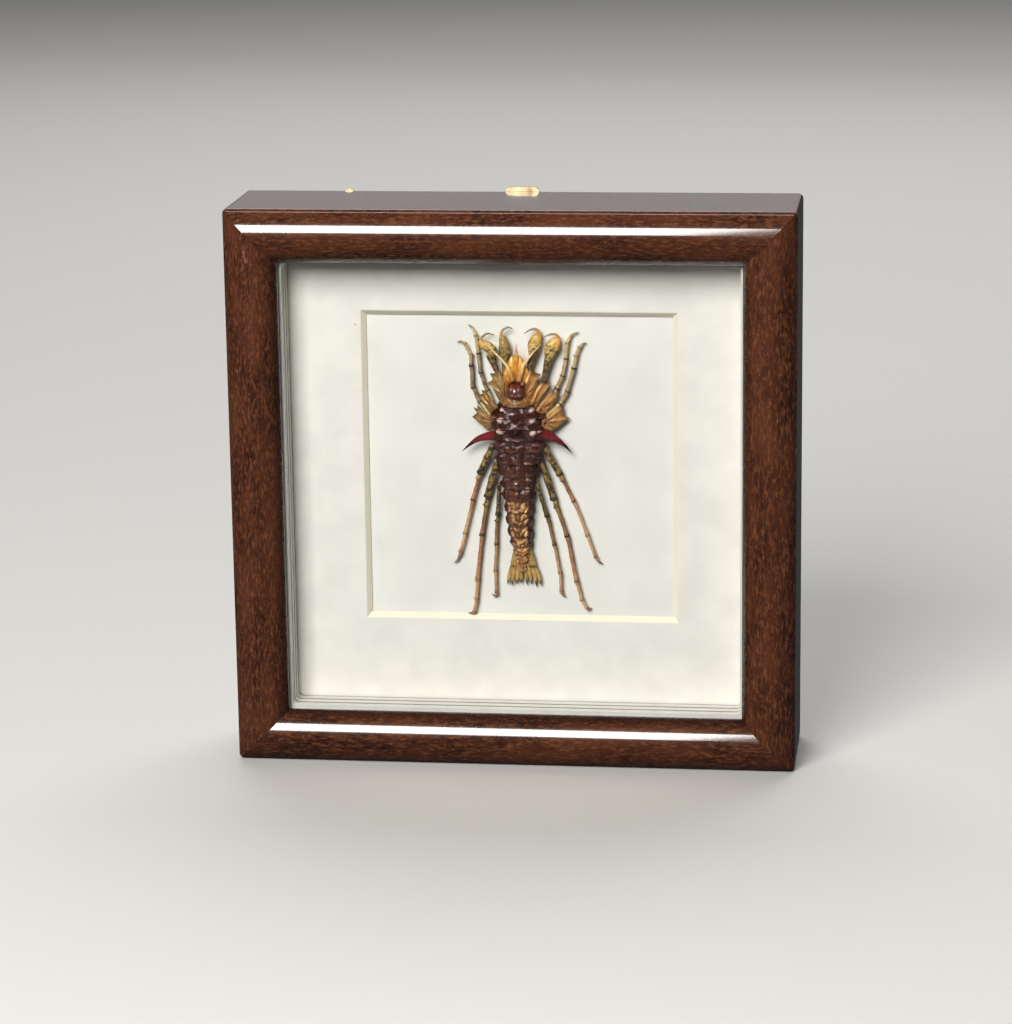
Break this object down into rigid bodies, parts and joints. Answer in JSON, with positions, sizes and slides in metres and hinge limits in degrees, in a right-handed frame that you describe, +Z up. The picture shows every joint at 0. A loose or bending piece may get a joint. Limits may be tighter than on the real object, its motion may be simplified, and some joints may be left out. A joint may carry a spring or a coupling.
{
  "type": "framed amphipod specimen",
  "caption": "Dried spiny amphipod on white board behind an off-centre bevelled mat, in a small square shadow box of dark stained half-round moulding.",
  "frame": {"origin": "middle of the box that holds the object, at the flat underside of the bottom rail", "axes": "+X to the viewer's right, +Y from the front to the back, +Z up; the specimen faces -Y"},
  "size_m": [0.15, 0.0384, 0.1512],
  "materials": {
    "stained_wood": "dark red-brown stain under satin lacquer",
    "clear_glazing": "clear",
    "spacer_card": "matt white",
    "mat_card": "matt white with a cream core",
    "backing_paper": "matt white textured paper",
    "dried_shell": "dark red to yellow-brown dried shell, half glossy",
    "brown_card": "plain brown card",
    "hardboard": "smooth dark hardboard",
    "brass": "plain yellow brass"
  },
  "bodies": {
    "root": {"frame_rail_top": "stained_wood", "frame_rail_right": "stained_wood", "frame_rail_bottom": "stained_wood", "frame_rail_left": "stained_wood", "glass_pane": "clear_glazing", "spacer_board_front": "spacer_card", "spacer_board_middle": "spacer_card", "spacer_board_back": "spacer_card", "mat_board": "mat_card", "backing_board": "backing_paper", "amphipod": "dried_shell", "filler_board": "brown_card", "back_panel": "hardboard", "panel_clip_top_left": "brass", "panel_clip_top_right": "brass", "panel_clip_bottom_left": "brass", "panel_clip_bottom_right": "brass", "clip_screw_top_left": "brass", "clip_screw_top_right": "brass", "clip_screw_bottom_left": "brass", "clip_screw_bottom_right": "brass", "hanging_tab": "brass", "tab_screw_left": "brass", "tab_screw_right": "brass"}
  },
  "joints": []
}
